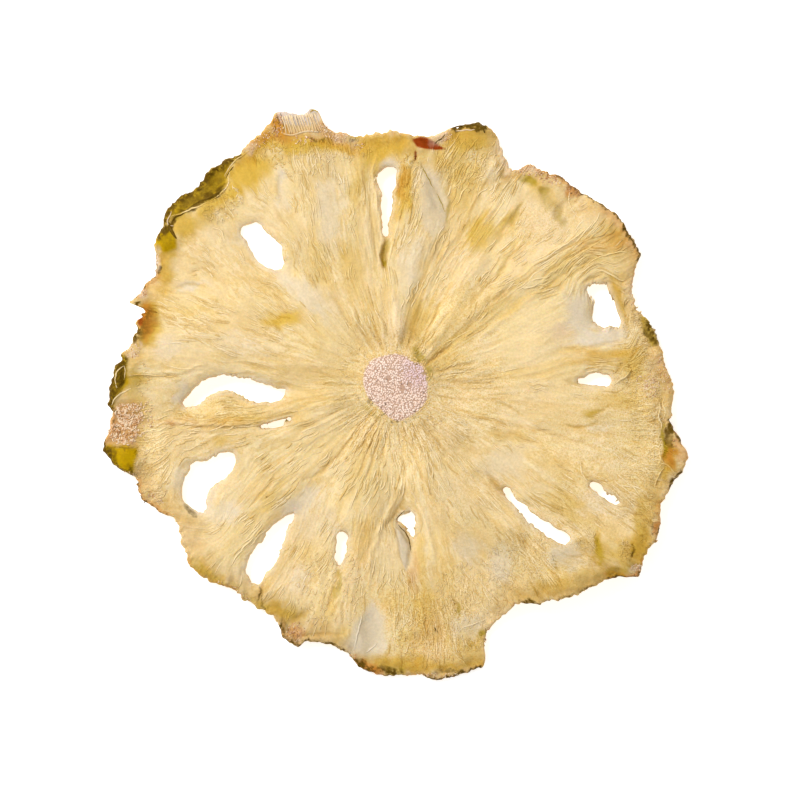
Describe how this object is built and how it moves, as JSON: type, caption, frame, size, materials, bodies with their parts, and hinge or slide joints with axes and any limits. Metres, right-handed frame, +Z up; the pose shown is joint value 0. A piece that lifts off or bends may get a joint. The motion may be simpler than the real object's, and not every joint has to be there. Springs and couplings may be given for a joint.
{
  "type": "dried pineapple slice",
  "caption": "Thin wavy round slice of dried pineapple with its core intact, radial fibres, a crumpled rim with bits of rind, and slits torn between its segments.",
  "frame": {"origin": "bottom centre of the slice's bounding box, on the surface it lies on", "axes": "+Z up out of the shown cut face; +Y towards the rim's fringed peak, which lies at the upper left (-X, +Y); +X to the right"},
  "size_m": [0.091, 0.0894, 0.0074],
  "materials": {
    "dried_flesh": "matt, dry fibrous fruit flesh, cream to golden yellow, slightly translucent where thin"
  },
  "bodies": {
    "root": {"pineapple_slice": "dried_flesh"}
  },
  "joints": []
}
